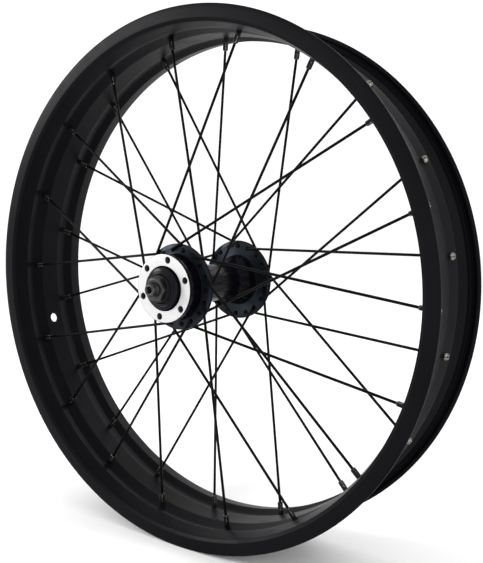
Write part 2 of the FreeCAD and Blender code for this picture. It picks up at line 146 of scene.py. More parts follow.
MOUTH_R, MOUTH_ROUND = 17.3, 0.15
CAP_SEAT_R, CAP_SEAT_DEPTH, CUP_R, TUNNEL_R = 15.9, 3.2, 14.4, 10.5
CUP_FLOOR = {FAR_SIDE: 41.0, DISC_SIDE: 45.0}
# the third slot holds painted shade in the rotor holes, the fourth a painted sheen on the flanges
HUB_FACE, BARE_FACE, THREAD_SHADE_FACE, FLANGE_SHEEN_FACE = range(4)   # the hub mesh's material slots

CAMERA_PLACE = (0.3719, -0.4772, 0.0564)
CAMERA_DROP, CAMERA_TURN = 5.80, 34.60     # degrees below level, and round to the disc side
CAMERA_LENS, CAMERA_SENSOR = 47.4, 36.0
CAMERA_SHIFT = (-0.0199, 0.0130)


def at(radius, degrees, out):
    """A point in metres from a radius, an angle and a distance along the axle."""
    turn = math.radians(degrees)
    return Vector((radius * math.cos(turn), out, radius * math.sin(turn))) * MM


# ------------------------------------------------------------ mesh tools

def complete(corner):
    """A corner as (out, radius, rounding, cells), with no rounding and one cell if unsaid."""
    return tuple(corner) + (0, 1)[len(corner) - 2:]


def backwards(corners, last_cells=1):
    """The same corners in reverse order, where each run between two keeps its cells."""
    full = [complete(corner) for corner in corners]
    result = []
    for index in range(len(full) - 1, -1, -1):
        cells = full[index - 1][3] if index else last_cells
        result.append((*full[index][:3], cells))
    return result


def outline(corners, side=1, steps=3):
    """Points of a closed section, from corners whose cells divide the run that follows."""
    full = [complete(corner) for corner in corners]
    points = [Vector((corner[0], corner[1])) for corner in full]
    count = len(points)
    spans = []
    for index, (_, _, rounding, _) in enumerate(full):
        here = points[index]
        if not rounding:
            spans.append([here])
            continue
        before = (points[index - 1] - here).normalized()
        after = (points[(index + 1) % count] - here).normalized()
        half = before.angle(after) / 2
        reach = rounding / math.tan(half)
        centre = here + (before + after).normalized() * (rounding / math.sin(half))
        start = here + before * reach - centre
        finish = here + after * reach - centre
        arc = [centre + start.slerp(finish, step / steps).normalized() * rounding
               for step in range(steps + 1)]
        spans.append(arc)
    result = []
    for index, span in enumerate(spans):
        result += span
        following = spans[(index + 1) % count][0]
        cells = full[index][3]
        result += [span[-1].lerp(following, cell / cells) for cell in range(1, cells)]
    return [(point.x * side, point.y) for point in result]


def lathe(bm, section, angles, skip=(), materials=None):
    """Turn a closed section round the axle and leave out the cells in skip."""
    columns = []
    for angle in angles:
        points = section(angle) if callable(section) else section
        columns.append([bm.verts.new(at(radius, angle, out)) for out, radius in points])
    rows, turns = len(columns[0]), len(columns)
    for i in range(turns):
        near, far = columns[i], columns[(i + 1) % turns]
        for j in range(rows):
            if (i, j) in skip:
                continue
            k = (j + 1) % rows
            face = bm.faces.new((near[j], far[j], far[k], near[k]))
            if materials:
                face.material_index = materials[j]
    return columns


def block(i0, i1, j0, j1, turns):
    """The cells of a rectangular patch, and its edge as (column, row) pairs in order."""
    cells = {(i % turns, j) for i in range(i0, i1) for j in range(j0, j1)}
    edge = [(i, j0) for i in range(i0, i1)] + [(i1, j) for j in range(j0, j1)]
    edge += [(i, j1) for i in range(i1, i0, -1)] + [(i0, j) for j in range(j1, j0, -1)]
    return cells, [(i % turns, j) for i, j in edge]


def nearest_column(angles, wanted):
    """The column of a turned mesh that stands closest to an angle."""
    return min(range(len(angles)), key=lambda i: abs((angles[i] - wanted + 180) % 360 - 180))


def nearest_row(section, out, radius):
    """The row of a turned mesh that lies closest to a place in its section."""
    return min(range(len(section)),
               key=lambda j: math.hypot(section[j][0] - out, section[j][1] - radius))


def ring_round(bm, loop, base, direction, radius, surface=None, height=0.0):
    """A ring about an axis, one vertex for each in loop, at a height or on a surface."""
    ring = []
    for vertex in loop:
        spoke = vertex.co - base
        spoke -= direction * spoke.dot(direction)
        point = base + spoke.normalized() * (radius * MM) + direction * (height * MM)
        if surface:
            point = slide_onto(surface, point, direction)
        ring.append(bm.verts.new(point))
    return ring


def slide_onto(surface, point, direction):
    """Move a point along a direction until surface(point), in millimetres, is zero."""
    step = 0.1 * MM
    for _ in range(6):
        error = surface(point)
        slope = (surface(point + direction * step) - error) / step
        point = point - direction * (error / slope)
    return point


def bridge(bm, loop, other, material=0):
    """Join two rings of equal count with a band of faces."""
    count = len(loop)
    for k in range(count):
        face = bm.faces.new((loop[k], loop[(k + 1) % count], other[(k + 1) % count], other[k]))
        face.material_index = material


def chain(bm, loops, materials=None):
    """Join rings in a row, with a material for each band."""
    for index in range(len(loops) - 1):
        bridge(bm, loops[index], loops[index + 1], materials[index] if materials else 0)


def seal(bm, loop, material=0):
    """Close a ring with a fan to its middle."""
    middle = bm.verts.new(sum((vertex.co for vertex in loop), Vector()) / len(loop))
    for k in range(len(loop)):
        bm.faces.new((loop[k], loop[(k + 1) % len(loop)], middle)).material_index = material


def matched_loop(loop, guide, base, direction):
    """Turn and flip a loop so that it runs beside another one."""
    def way(vertex):
        arm = vertex.co - base
        return (arm - direction * arm.dot(direction)).normalized()

    count = len(guide)
    every = 3                              # comparing some of the vertices is enough
    best = None
    for order in (loop, loop[::-1]):
        for shift in range(count):
            turned = order[shift:] + order[:shift]
            score = sum(way(turned[k]).dot(way(guide[k])) for k in range(0, count, every))
            if best is None or score > best[0]:
                best = (score, turned)
    return best[1]


def piece(name, bm, materials, body, nodes, sharp=32):
    """Turn a bmesh into a piece that rides on a body and stands for CAD nodes."""
    bmesh.ops.recalc_face_normals(bm, faces=bm.faces)
    mesh = bpy.data.meshes.new(name)
    bm.to_mesh(mesh)
    bm.free()
    for material in materials:
        mesh.materials.append(material)
    mesh.shade_smooth()
    mesh.set_sharp_from_angle(angle=math.radians(sharp))
    obj = bpy.data.objects.new(name, mesh)
    bpy.context.scene.collection.objects.link(obj)
    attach(obj, body)
    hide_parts(*nodes)
    return obj


# ------------------------------------------------------------ materials

class Graph:
    """A material's node tree, with short names for the nodes used here."""

    def __init__(self, name, metallic=0.0, coat=0.0, coat_roughness=0.1, specular=0.5):
        self.material = bpy.data.materials.new(name)
        self.material.use_nodes = True
        self.nodes = self.material.node_tree.nodes
        self.links = self.material.node_tree.links
        self.shader = self.nodes["Principled BSDF"]
        self.shader.inputs["Metallic"].default_value = metallic
        self.shader.inputs["Coat Weight"].default_value = coat
        self.shader.inputs["Coat Roughness"].default_value = coat_roughness
        self.shader.inputs["Specular IOR Level"].default_value = specular
        self.place = self.nodes.new("ShaderNodeTexCoord").outputs["Object"]
        self.normal = None

    def noise(self, scale, detail=4.0, stretch=None):
        node = self.nodes.new("ShaderNodeTexNoise")
        node.inputs["Scale"].default_value = scale
        node.inputs["Detail"].default_value = detail
        node.inputs["Roughness"].default_value = 0.55
        self.links.new(self.scaled(stretch) if stretch else self.place, node.inputs["Vector"])
        return node.outputs["Fac"]

    def scaled(self, stretch):
        node = self.nodes.new("ShaderNodeVectorMath")
        node.operation = "MULTIPLY"
        node.inputs[1].default_value = stretch
        self.links.new(self.place, node.inputs[0])
        return node.outputs["Vector"]

    def math(self, operation, first, second=0.0):
        node = self.nodes.new("ShaderNodeMath")
        node.operation = operation
        for socket, value in zip(node.inputs, (first, second)):
            if isinstance(value, (int, float)):
                socket.default_value = value
            else:
                self.links.new(value, socket)
        return node.outputs["Value"]

    def radius_and_out(self):
        """Distance from the axle and distance along it, in metres."""
        split = self.nodes.new("ShaderNodeSeparateXYZ")
        self.links.new(self.place, split.inputs["Vector"])
        square_x = self.math("MULTIPLY", split.outputs["X"], split.outputs["X"])
        square_z = self.math("MULTIPLY", split.outputs["Z"], split.outputs["Z"])
        return self.math("SQRT", self.math("ADD", square_x, square_z)), split.outputs["Y"]

    def tool_lines(self, per_metre):
        """Fine rings left by a lathe tool."""
        radius, out = self.radius_and_out()
        join = self.nodes.new("ShaderNodeCombineXYZ")
        self.links.new(self.math("MULTIPLY", radius, per_metre), join.inputs["X"])
        self.links.new(self.math("MULTIPLY", out, per_metre), join.inputs["Y"])
        node = self.nodes.new("ShaderNodeTexNoise")
        node.inputs["Scale"].default_value = 1.0
        node.inputs["Detail"].default_value = 3.0
        self.links.new(join.outputs["Vector"], node.inputs["Vector"])
        return node.outputs["Fac"]

    def spun_sheen(self, amount):
        """Spread highlights across the rings of a face turned about the axle."""
        grain = self.nodes.new("ShaderNodeTangent")
        grain.direction_type = "RADIAL"
        grain.axis = "Y"
        self.links.new(grain.outputs["Tangent"], self.shader.inputs["Tangent"])
        self.shader.inputs["Anisotropic"].default_value = amount
        self.shader.inputs["Anisotropic Rotation"].default_value = 0.25

    def wear(self):
        """How much a place is rubbed, from 0 to 1, as the mesh says."""
        node = self.nodes.new("ShaderNodeAttribute")
        node.attribute_name = "wear"
        return node.outputs["Fac"]

    def ramp(self, source, stops):
        node = self.nodes.new("ShaderNodeValToRGB")
        elements = node.color_ramp.elements
        while len(elements) < len(stops):
            elements.new(0.5)
        for element, (place, value) in zip(elements, stops):
            element.position = place
            element.color = value if len(value) == 4 else (*value, 1.0)
        self.links.new(source, node.inputs["Fac"])
        return node.outputs["Color"]

    def range(self, source, low, high, from_low=0.3, from_high=0.7):
        node = self.nodes.new("ShaderNodeMapRange")
        node.inputs["From Min"].default_value = from_low
        node.inputs["From Max"].default_value = from_high
        node.inputs["To Min"].default_value = low
        node.inputs["To Max"].default_value = high
        self.links.new(source, node.inputs["Value"])
        return node.outputs["Result"]

    def blend(self, share, first, second):
        node = self.nodes.new("ShaderNodeMix")
        node.data_type = "RGBA"
        self.links.new(share, node.inputs["Factor"])
        for socket, value in ((node.inputs["A"], first), (node.inputs["B"], second)):
            if isinstance(value, tuple):
                socket.default_value = (*value, 1.0)
            else:
                self.links.new(value, socket)
        return node.outputs["Result"]

    def colour(self, source):
        self.links.new(source, self.shader.inputs["Base Color"])

    def roughness(self, source):
        self.links.new(source, self.shader.inputs["Roughness"])

    def metallic(self, source):
        self.links.new(source, self.shader.inputs["Metallic"])

    def bump(self, source, depth_mm, strength=1.0):
        """Add a bump of a given depth. Bumps stack in the order they are added."""
        node = self.nodes.new("ShaderNodeBump")
        node.inputs["Strength"].default_value = strength
        node.inputs["Distance"].default_value = depth_mm * MM
        self.links.new(source, node.inputs["Height"])
        if self.normal:
            self.links.new(self.normal, node.inputs["Normal"])
        self.normal = node.outputs["Normal"]
        self.links.new(self.normal, self.shader.inputs["Normal"])


def grey(value):
    return (value, value, value)


def rim_finish():
    """Satin black paint on aluminium: soft cloudiness, orange peel and a few dull scuffs."""
    g = Graph("rim_satin_black", specular=0.05)
    cloud = g.noise(14, 3)
    g.colour(g.ramp(cloud, [(0.3, (0.0022, 0.0020, 0.0030)), (0.7, (0.0036, 0.0033, 0.0050))]))
    scuffs = g.noise(60, 6, stretch=(1, 3, 1))
    g.roughness(g.math("ADD", g.range(cloud, 0.34, 0.42), g.range(scuffs, 0.0, 0.1, 0.5, 0.75)))
    g.bump(g.noise(700, 2), 0.03, 0.35)
    g.bump(g.tool_lines(1500), 0.01, 0.25)
    return g.material


def spoke_finish():
    """Black-coated stainless wire, with drawing marks and a slight sheen."""
    g = Graph("spoke_black", specular=0.05)
    patches = g.noise(120, 3)
    g.colour(g.ramp(patches, [(0.35, grey(0.0012)), (0.7, grey(0.003))]))
    g.roughness(g.range(patches, 0.3, 0.48))
    g.bump(g.noise(2500, 2), 0.01, 0.3)
    return g.material


def nipple_finish():
    """Blackened brass whose corners have been rubbed bright by the spoke key."""
    g = Graph("nipple_blackened_brass", specular=0.12)
    chips = g.noise(1400, 4)
    rubbed = g.math("MULTIPLY", g.wear(), g.range(chips, 0.0, 1.3, 0.42, 0.66))
    rubbed = g.range(rubbed, 0.0, 0.8, 0.3, 0.9)
    dark = g.ramp(g.noise(300, 2), [(0.3, grey(0.003)), (0.7, grey(0.008))])
    g.colour(g.blend(rubbed, dark, (0.48, 0.45, 0.38)))
    g.metallic(rubbed)
    g.roughness(g.range(chips, 0.28, 0.45))
    g.bump(chips, 0.015, 0.3)
    return g.material


def nipple_head_finish():
    """The nipple's slotted head: blackened brass, scratched bright by the screwdriver."""
    g = Graph("nipple_head_scratched", metallic=1.0)
    chips = g.noise(1500, 5)
    g.colour(g.ramp(chips, [(0.42, (0.05, 0.046, 0.04)), (0.62, (0.42, 0.40, 0.35))]))
    g.roughness(g.range(chips, 0.25, 0.45))
    g.bump(chips, 0.02, 0.3)
    return g.material


def hub_finish():
    """Gloss black anodised aluminium over turning marks, with a faint violet cast."""
    g = Graph("hub_black_anodised", specular=0.055)
    cast = g.noise(40, 2)
    g.colour(g.ramp(cast, [(0.35, (0.0015, 0.0014, 0.0022)), (0.65, (0.0026, 0.0022, 0.0045))]))
    marks = g.tool_lines(2600)
    g.roughness(g.range(marks, 0.13, 0.25))
    g.bump(marks, 0.012, 0.3)
    g.bump(g.noise(500, 3), 0.01, 0.15)
    return g.material


def flange_painted_sheen_finish():
    """The flanges' turned faces: their fine rings spread highlights along the radius, and their
    lighter blue-grey colour is a painted sheen on the hub's black metal.
    """
    g = Graph("hub_flange_painted_sheen", metallic=0.85, specular=0.12)
    marks = g.tool_lines(2200)
    cast = g.noise(55, 3)
    tone = g.math("ADD", g.math("MULTIPLY", marks, 0.4), g.math("MULTIPLY", cast, 0.6))
    # a lighter blue-grey than the rest of the hub: painted sheen
    g.colour(g.ramp(tone, [(0.35, (0.010, 0.013, 0.017)), (0.65, (0.018, 0.023, 0.029))]))
    g.roughness(g.range(marks, 0.32, 0.44))
    g.spun_sheen(0.85)
    g.bump(marks, 0.012, 0.5)
    return g.material


def machined_finish():
    """Bare aluminium faced on a lathe: bright, with fine rings and light scratches."""
    g = Graph("rotor_face_machined", metallic=0.75, specular=0.5)
    marks = g.tool_lines(5200)
    scratches = g.noise(1800, 3, stretch=(1, 1, 0.15))
    tone = g.math("ADD", g.math("MULTIPLY", marks, 0.7), g.math("MULTIPLY", scratches, 0.3))
    g.colour(g.ramp(tone, [(0.3, grey(0.47)), (0.7, grey(0.62))]))
    g.roughness(g.range(tone, 0.34, 0.5))
    g.bump(marks, 0.012, 0.5)
    return g.material


def thread_painted_shade_finish():
    """Cut aluminium thread, coloured near black as painted shade deep in the hole."""
    g = Graph("tapped_thread_painted_shade", metallic=0.4)
    # near black instead of bare aluminium: painted shade inside the rotor holes
    g.colour(g.ramp(g.noise(1500, 3), [(0.3, grey(0.004)), (0.7, grey(0.016))]))
    g.roughness(g.range(g.noise(900, 3), 0.35, 0.55))
    return g.material


def steel_finish(name, dark, light, rough=(0.28, 0.45), lines=3000, metallic=0.9):
    """Turned steel, from bright ground races to black zinc nuts."""
    g = Graph(name, metallic=metallic)
    marks = g.tool_lines(lines)
    mottle = g.noise(350, 4)
    tone = g.math("ADD", g.math("MULTIPLY", marks, 0.5), g.math("MULTIPLY", mottle, 0.5))
    g.colour(g.ramp(tone, [(0.35, dark), (0.65, light)]))
    g.roughness(g.range(mottle, *rough))
    g.bump(marks, 0.012, 0.4)
    return g.material


def nut_finish():
    """Black zinc on a steel nut, worn to grey along its edges."""
    g = Graph("locknut_black_zinc", metallic=0.6, specular=0.3)
    chips = g.noise(1100, 5)
    rubbed = g.math("MULTIPLY", g.wear(), g.range(chips, 0.2, 1.3, 0.35, 0.65))
    dark = g.ramp(chips, [(0.3, grey(0.010)), (0.7, grey(0.014))])
    g.colour(g.blend(g.range(rubbed, 0.1, 0.8, 0.15, 0.9), dark, grey(0.065)))
    g.roughness(g.range(chips, 0.3, 0.45))
    g.bump(g.tool_lines(3500), 0.015, 0.35)
    return g.material


def cap_finish():
    """Deep black pressed cover with a violet cast and fine pressing rings."""
    g = Graph("dust_cap_black", metallic=0.7, coat=0.04, coat_roughness=0.12, specular=0.12)
    cast = g.noise(60, 2)
    g.colour(g.ramp(cast, [(0.35, (0.0048, 0.0043, 0.0066)), (0.65, (0.009, 0.008, 0.0118))]))
    marks = g.tool_lines(2400)
    g.roughness(g.range(marks, 0.24, 0.36))
    g.spun_sheen(0.85)
    g.bump(marks, 0.012, 0.35)
    return g.material


def rubber_finish():
    """Matt black moulded rubber with a dusty bloom."""
    g = Graph("boot_rubber", specular=0.15)
    bloom = g.noise(400, 5)
    g.colour(g.ramp(bloom, [(0.35, grey(0.005)), (0.75, grey(0.012))]))
    g.roughness(g.range(bloom, 0.6, 0.8))
    g.bump(g.noise(2600, 2), 0.03, 0.4)
    return g.material


RIM_BLACK = rim_finish()
SPOKE_BLACK = spoke_finish()
NIPPLE_BLACK = nipple_finish()
NIPPLE_BRIGHT = nipple_head_finish()
HUB_BLACK = hub_finish()
FLANGE_PAINTED_SHEEN = flange_painted_sheen_finish()
MACHINED = machined_finish()
TAPPED_PAINTED_SHADE = thread_painted_shade_finish()
CAP_BLACK = cap_finish()
BOOT_RUBBER = rubber_finish()
NUT_BLACK = nut_finish()
AXLE_STEEL = steel_finish("axle_dark_steel", grey(0.03), grey(0.07), (0.3, 0.45))
WASHER_STEEL = steel_finish("washer_black_zinc", grey(0.012), grey(0.03), (0.32, 0.45))
RACE_STEEL = steel_finish("race_ground_steel", grey(0.42), grey(0.6), (0.18, 0.3))
BALL_STEEL = steel_finish("ball_polished_steel", grey(0.72), grey(0.85), (0.06, 0.12), 900)
RETAINER_STEEL = steel_finish("retainer_pressed_steel", (0.3, 0.27, 0.22), (0.5, 0.46, 0.38))


# ------------------------------------------------------------ lacing

def lacing(side):
    """Each spoke of one side: its hub angle, its rim angle and whether it exits outboard."""
    start = FIRST_HOLE + (PITCH / 2 if side == DISC_SIDE else 0)
    for count in range(SPOKES_PER_SIDE):
        rim_angle = start + count * PITCH
        forward = (count % 2 == 1) == (side == DISC_SIDE)
        yield rim_angle + (CROSS if forward else -CROSS), rim_angle, forward == (side == DISC_SIDE)


def spoke_path(side, hub_angle, rim_angle, outboard):
    """The wire's centre line in metres, from its head to the nipple, with its radii."""
    hole = at(HOLE_CIRCLE_R, hub_angle, side * FLANGE_OUT)
    shank = Vector((0, side if outboard else -side, 0))
    seat = at(ROW_R, rim_angle, side * ROW_OUT)
    bend_start = hole + shank * ((FLANGE_HALF - ELBOW_SINK) * MM)
    sideways = seat - bend_start
    sideways = (sideways - shank * sideways.dot(shank)).normalized()
    bend = ELBOW_R * MM
    centre = bend_start + sideways * bend
    reach = seat - centre
    along, up = reach.dot(sideways), reach.dot(shank)
    turn = math.pi / 2 - math.atan2(up, along) + math.asin(bend / math.hypot(along, up))
    head = hole - shank * ((FLANGE_HALF + HEAD_H) * MM)
    crown = [(0.0, 0.75), (0.08, 1.2), (0.3, 1.62), (0.6, 1.86), (0.95, HEAD_R),
             (HEAD_H - 0.08, HEAD_R - 0.06), (HEAD_H - 0.03, 1.5), (HEAD_H + 0.1, 1.12),
             (HEAD_H + 0.5, SPOKE_R)]
    path = [(head + shank * (depth * MM), radius) for depth, radius in crown]
    bends = 9
    for step in range(bends + 1):
        angle = turn * step / bends
        point = centre - sideways * (bend * math.cos(angle)) + shank * (bend * math.sin(angle))
        path.append((point, SPOKE_R))
    elbow_end = path[-1][0]
    runs = 6
    path += [(elbow_end.lerp(seat, run / runs), SPOKE_R) for run in range(1, runs + 1)]
    return path, seat, (elbow_end - seat).normalized()


def add_wire(bm, path, sides=14):
    """A round wire of changing radius along a path, closed at both ends."""
    loops = []
    normal = None
    for index, (point, radius) in enumerate(path):
        before = path[max(index - 1, 0)][0]
        after = path[min(index + 1, len(path) - 1)][0]
        tangent = (after - before).normalized()
        if normal is None:
            normal = tangent.orthogonal().normalized()
        normal = (normal - tangent * normal.dot(tangent)).normalized()
        across = tangent.cross(normal)
        ring = []
        for k in range(sides):
            turn = 2 * math.pi * k / sides
            way = normal * math.cos(turn) + across * math.sin(turn)
            ring.append(bm.verts.new(point + way * (radius * MM)))
        loops.append(ring)
    chain(bm, loops)
    seal(bm, loops[0])
    seal(bm, loops[-1])


def add_nipple(bm, wear, seat, inward, sides=32):
    """A nipple: slotted head, round body, square key flats with rounded corners, open tip."""
    up = Vector((0, 1, 0))
    across = inward.cross(up).normalized()
    along = inward.cross(across)
    body = [(NIPPLE_LENGTH - 0.35, 1.35, 0.9), (NIPPLE_LENGTH, 1.62, 1.0),
            (NIPPLE_LENGTH - 0.35, 1.95, 1.0), (NIPPLE_LENGTH - 0.8, 2.1, 0.75)]
    flat_start = NIPPLE_LENGTH - NIPPLE_FLAT_LENGTH
    body += [(flat_start + share * (NIPPLE_FLAT_LENGTH - 0.8), 2.1, 0.55)
             for share in (0.75, 0.5, 0.25, 0.04)]
    barrel = [(flat_start - 0.35, NIPPLE_R, 0.8), (flat_start - 0.9, NIPPLE_R, 0.2),
              (flat_start / 2, NIPPLE_R, 0.0), (0.1, NIPPLE_R, 0.1)]
    head = [(0.0, NIPPLE_HEAD_R - 0.15, 0.3), (-0.2, NIPPLE_HEAD_R, 0.8),
            (-0.9, NIPPLE_HEAD_R - 0.12, 0.9), (-1.5, NIPPLE_HEAD_R - 0.45, 1.0),
            (-2.05, NIPPLE_HEAD_R - 0.95, 1.0), (-2.4, NIPPLE_HEAD_R - 1.55, 1.0),
            (1e-3 - NIPPLE_HEAD_H, 0.9, 1.0)]
    loops = []
    for depth, radius, rubbed in body + barrel + head:
        ring = []
        for k in range(sides):
            turn = 2 * math.pi * (k + 0.5) / sides
            reach = radius
            corner = 0.0
            if depth > flat_start - 0.1:
                flat = NIPPLE_FLATS / 2 / max(abs(math.cos(turn)), abs(math.sin(turn)))
                corner = 1.0 if flat >= radius else 0.0
                reach = min(radius, flat)
            point = seat + inward * (depth * MM)
            if depth < -1.0 and abs(math.cos(turn)) * reach < SLOT_HALF:
                point = seat - inward * (min(-depth, NIPPLE_HEAD_H - SLOT_DEPTH) * MM)
            way = across * math.cos(turn) + along * math.sin(turn)
            vertex = bm.verts.new(point + way * (reach * MM))
            vertex[wear] = max(corner * 0.9, rubbed if depth <= 0 or corner else rubbed * 0.35)
            ring.append(vertex)
        loops.append(ring)
    chain(bm, loops, [0] * (len(body) + len(barrel) - 1) + [1] * len(head))
    floor = bm.verts.new(seat - inward * ((NIPPLE_HEAD_H - SLOT_DEPTH) * MM))
    for k in range(sides):
        bm.faces.new((loops[-1][k], loops[-1][(k + 1) % sides], floor)).material_index = 1
    throat = []
    for k in range(sides):
        turn = 2 * math.pi * (k + 0.5) / sides
        way = across * math.cos(turn) + along * math.sin(turn)
        vertex = bm.verts.new(seat + inward * ((NIPPLE_LENGTH - 1.2) * MM)
                              + way * ((SPOKE_R + 0.03) * MM))
        vertex[wear] = 0.2
        throat.append(vertex)
    bridge(bm, loops[0], throat)
    seal(bm, throat)


def build_lacing():
    """Spokes and nipples, and each nipple's (rim angle, side, seat, inward) for the rim."""
    seats = []
    for side, name in SIDE_NAMES.items():
        wires = {True: bmesh.new(), False: bmesh.new()}
        nipples = bmesh.new()
        wear = nipples.verts.layers.float.new("wear")
        for hub_angle, rim_angle, outboard in lacing(side):
            path, seat, inward = spoke_path(side, hub_angle, rim_angle, outboard)
            add_wire(wires[outboard], path)
            add_nipple(nipples, wear, seat, inward)
            seats.append((rim_angle, side, seat, inward))
        for outboard, group in ((True, "outer"), (False, "inner")):
            node = "spokes_" + name + "_" + group
            piece("vis_" + node, wires[outboard], [SPOKE_BLACK], "wheel", [node])
        node = "nipples_" + name
        piece("vis_" + node, nipples, [NIPPLE_BLACK, NIPPLE_BRIGHT], "wheel",
              [node], sharp=40)
    return seats


# ------------------------------------------------------------ rim

def rim_half():
    """Corners of one half of the rim's section, from its hub side over the lip."""
    wall_in = RIM_HALF - LIP
    hook_in = wall_in - HOOK_STEP
    bed_slope = (CORNER_BED_R - RIDGE_R) / (RIM_HALF - RIDGE_OUT)
    return [(WELL_OUT, WELL_R, FOLD, 6), (VALLEY_OUT, VALLEY_R, FOLD, 2),
            (RIDGE_OUT, RIDGE_R, FOLD, 3),
            (RIM_HALF - CORNER_CUT, CORNER_BED_R - CORNER_CUT * bed_slope, CORNER_ROUND[0]),
            (RIM_HALF, CORNER_BED_R + CORNER_RISE, CORNER_ROUND[1], 3),
            (RIM_HALF, RIM_R, LIP_ROUND), (wall_in, RIM_R, LIP_ROUND),
            (hook_in, RIM_R - HOOK_HIGH, SMALL), (hook_in, RIM_R - HOOK_LOW, SMALL),
            (wall_in, RIM_R - HOOK_FOOT, SMALL), (wall_in, BEAD_SEAT_R, SMALL),
            (SHOULDER_OUT, SHOULDER_R, FOLD, 2), (RIDGE_OUT + SMALL, RIDGE_R + WALL, FOLD, 2),
            (VALLEY_OUT, VALLEY_R + WALL, FOLD, 6), (WELL_OUT, WELL_R + WALL, FOLD, WELL_CELLS)]


def rim_section():
    """The rim's whole section: one half and its mirror."""
    far = rim_half()
    return outline(far + [(-out, *rest) for out, *rest in backwards(far, WELL_CELLS)])


def build_rim(seats):
    """The rim, with a bevelled hole and a flat seat for each nipple, and a valve hole."""
    section = rim_section()
    angles = [FIRST_HOLE + sector * PITCH / 2 + offset
              for sector in range(2 * SPOKES_PER_SIDE) for offset in HOLE_COLUMNS]
    turns = len(angles)
    slope = (VALLEY_R - WELL_R) / (VALLEY_OUT - WELL_OUT)

    def bed(rise):
        """The sloping bed under a nipple row, or the same surface a wall's thickness out."""
        def surface(point):
            flat = WELL_R + rise + slope * (abs(point.y) / MM - WELL_OUT)
            return math.hypot(point.x, point.z) - flat * MM
        return surface

    def well(rise):
        """The flat well between the nipple rows, raised by a distance."""
        return lambda point: math.hypot(point.x, point.z) - (WELL_R + rise) * MM

    def rows(low_out, high_out, rise, slant):
        """The rows where a patch begins and ends, on the bed or a wall's thickness out."""
        ends = []
        for out in (low_out, high_out):
            radius = WELL_R + rise + slant * (abs(out) - WELL_OUT)
            ends.append(nearest_row(section, out, radius))
        return sorted(ends)

    skip = set()
    patches = []
    run = FOLD * math.tan(math.atan(slope) / 2) * math.cos(math.atan(slope))
    for rim_angle, side, seat, inward in seats:
        centre = nearest_column(angles, rim_angle)
        reach = (centre - NIPPLE_REACH, centre + NIPPLE_REACH)
        outs = (side * (WELL_OUT + run), side * (VALLEY_OUT - run))
        hub_cells, hub_edge = block(*reach, *rows(*outs, 0, slope), turns)
        tyre_cells, tyre_edge = block(*reach, *rows(*outs, WALL, slope), turns)
        skip |= hub_cells | tyre_cells
        patches.append((hub_edge, tyre_edge, seat, inward))
    centre = nearest_column(angles, VALVE_ANGLE)
    reach = (centre - VALVE_REACH, centre + VALVE_REACH)
    outs = (-VALVE_PATCH_OUT, VALVE_PATCH_OUT)
    valve_hub = block(*reach, *rows(*outs, 0, 0), turns)
    valve_tyre = block(*reach, *rows(*outs, WALL, 0), turns)
    skip |= valve_hub[0] | valve_tyre[0]

    bm = bmesh.new()
    columns = lathe(bm, section, angles, skip)

    def loop_of(edge):
        return [columns[i][j] for i, j in edge]

    for hub_edge, tyre_edge, seat, inward in patches:
        hub_loop = loop_of(hub_edge)
        tyre_loop = matched_loop(loop_of(tyre_edge), hub_loop, seat, inward)
        rings = [tyre_loop,
                 ring_round(bm, tyre_loop, seat, inward, BED_RING_TYRE_R, bed(WALL)),
                 ring_round(bm, tyre_loop, seat, inward, SEAT_R, bed(WALL)),
                 ring_round(bm, tyre_loop, seat, inward, SEAT_FLOOR_R, height=SEAT_LIFT),
                 ring_round(bm, tyre_loop, seat, inward, NIPPLE_HOLE_R, height=SEAT_LIFT),
                 ring_round(bm, hub_loop, seat, inward, NIPPLE_HOLE_R, bed(NIPPLE_BEVEL_DEPTH)),
                 ring_round(bm, hub_loop, seat, inward, NIPPLE_HOLE_R + NIPPLE_BEVEL, bed(0)),
                 ring_round(bm, hub_loop, seat, inward, BED_RING_HUB_R, bed(0)),
                 hub_loop]
        chain(bm, rings)
    outward = at(1, VALVE_ANGLE, 0).normalized()
    hub_loop = loop_of(valve_hub[1])
    base = outward * (WELL_R * MM)
    tyre_loop = matched_loop(loop_of(valve_tyre[1]), hub_loop, base, outward)
    rings = [tyre_loop]
    for loop, radius, rise in ((tyre_loop, VALVE_R + VALVE_MARGIN, WALL),
                               (tyre_loop, VALVE_R + VALVE_BEVEL, WALL),
                               (tyre_loop, VALVE_R, WALL - VALVE_BEVEL),
                               (hub_loop, VALVE_R, VALVE_BEVEL),
                               (hub_loop, VALVE_R + VALVE_BEVEL, 0),
                               (hub_loop, VALVE_R + VALVE_MARGIN, 0)):
        rings.append(ring_round(bm, loop, base, outward, radius, well(rise)))
    chain(bm, rings + [hub_loop])
    piece("vis_rim", bm, [RIM_BLACK], "wheel", ["rim"])


# ------------------------------------------------------------ hub shell

def flange_corners(side):
    """A flange's section, from its outboard face over the edge to its inboard face."""
    outboard, inboard = side * (FLANGE_OUT + FLANGE_HALF), side * (FLANGE_OUT - FLANGE_HALF)
    return [(outboard, PATCH_LOW_R, 0, 4), (outboard, FLANGE_TAPER_R, FLANGE_ROUND),
            (side * (FLANGE_OUT + FLANGE_EDGE_HALF), FLANGE_R, SMALL),
            (side * (FLANGE_OUT - FLANGE_EDGE_HALF), FLANGE_R, SMALL),
            (inboard, FLANGE_TAPER_R, FLANGE_ROUND, 4), (inboard, PATCH_LOW_R, 0, 2)]


def flare_corners(side, foot_r):
    """The barrel's flare, from its foot out to the flange."""
    return [(side * FLARE_OUT, foot_r, FLARE_ROUND),
            (side * FLARE_MID_OUT, FLARE_MID_R, FLARE_ROUND, 2),
            (side * (FLANGE_OUT - FLANGE_HALF), FLARE_R, FOLD, 2)]


def bore_corners(side, end):
    """The stepped bore, from the cap's seat in to the tunnel."""
    cap_floor = side * (end - CAP_SEAT_DEPTH)
    cup_floor = side * CUP_FLOOR[side]
    return [(side * (end - (MOUTH_R - CAP_SEAT_R)), CAP_SEAT_R, MOUTH_ROUND),
            (cap_floor, CAP_SEAT_R), (cap_floor, CUP_R), (cup_floor, CUP_R),
            (cup_floor, TUNNEL_R)]


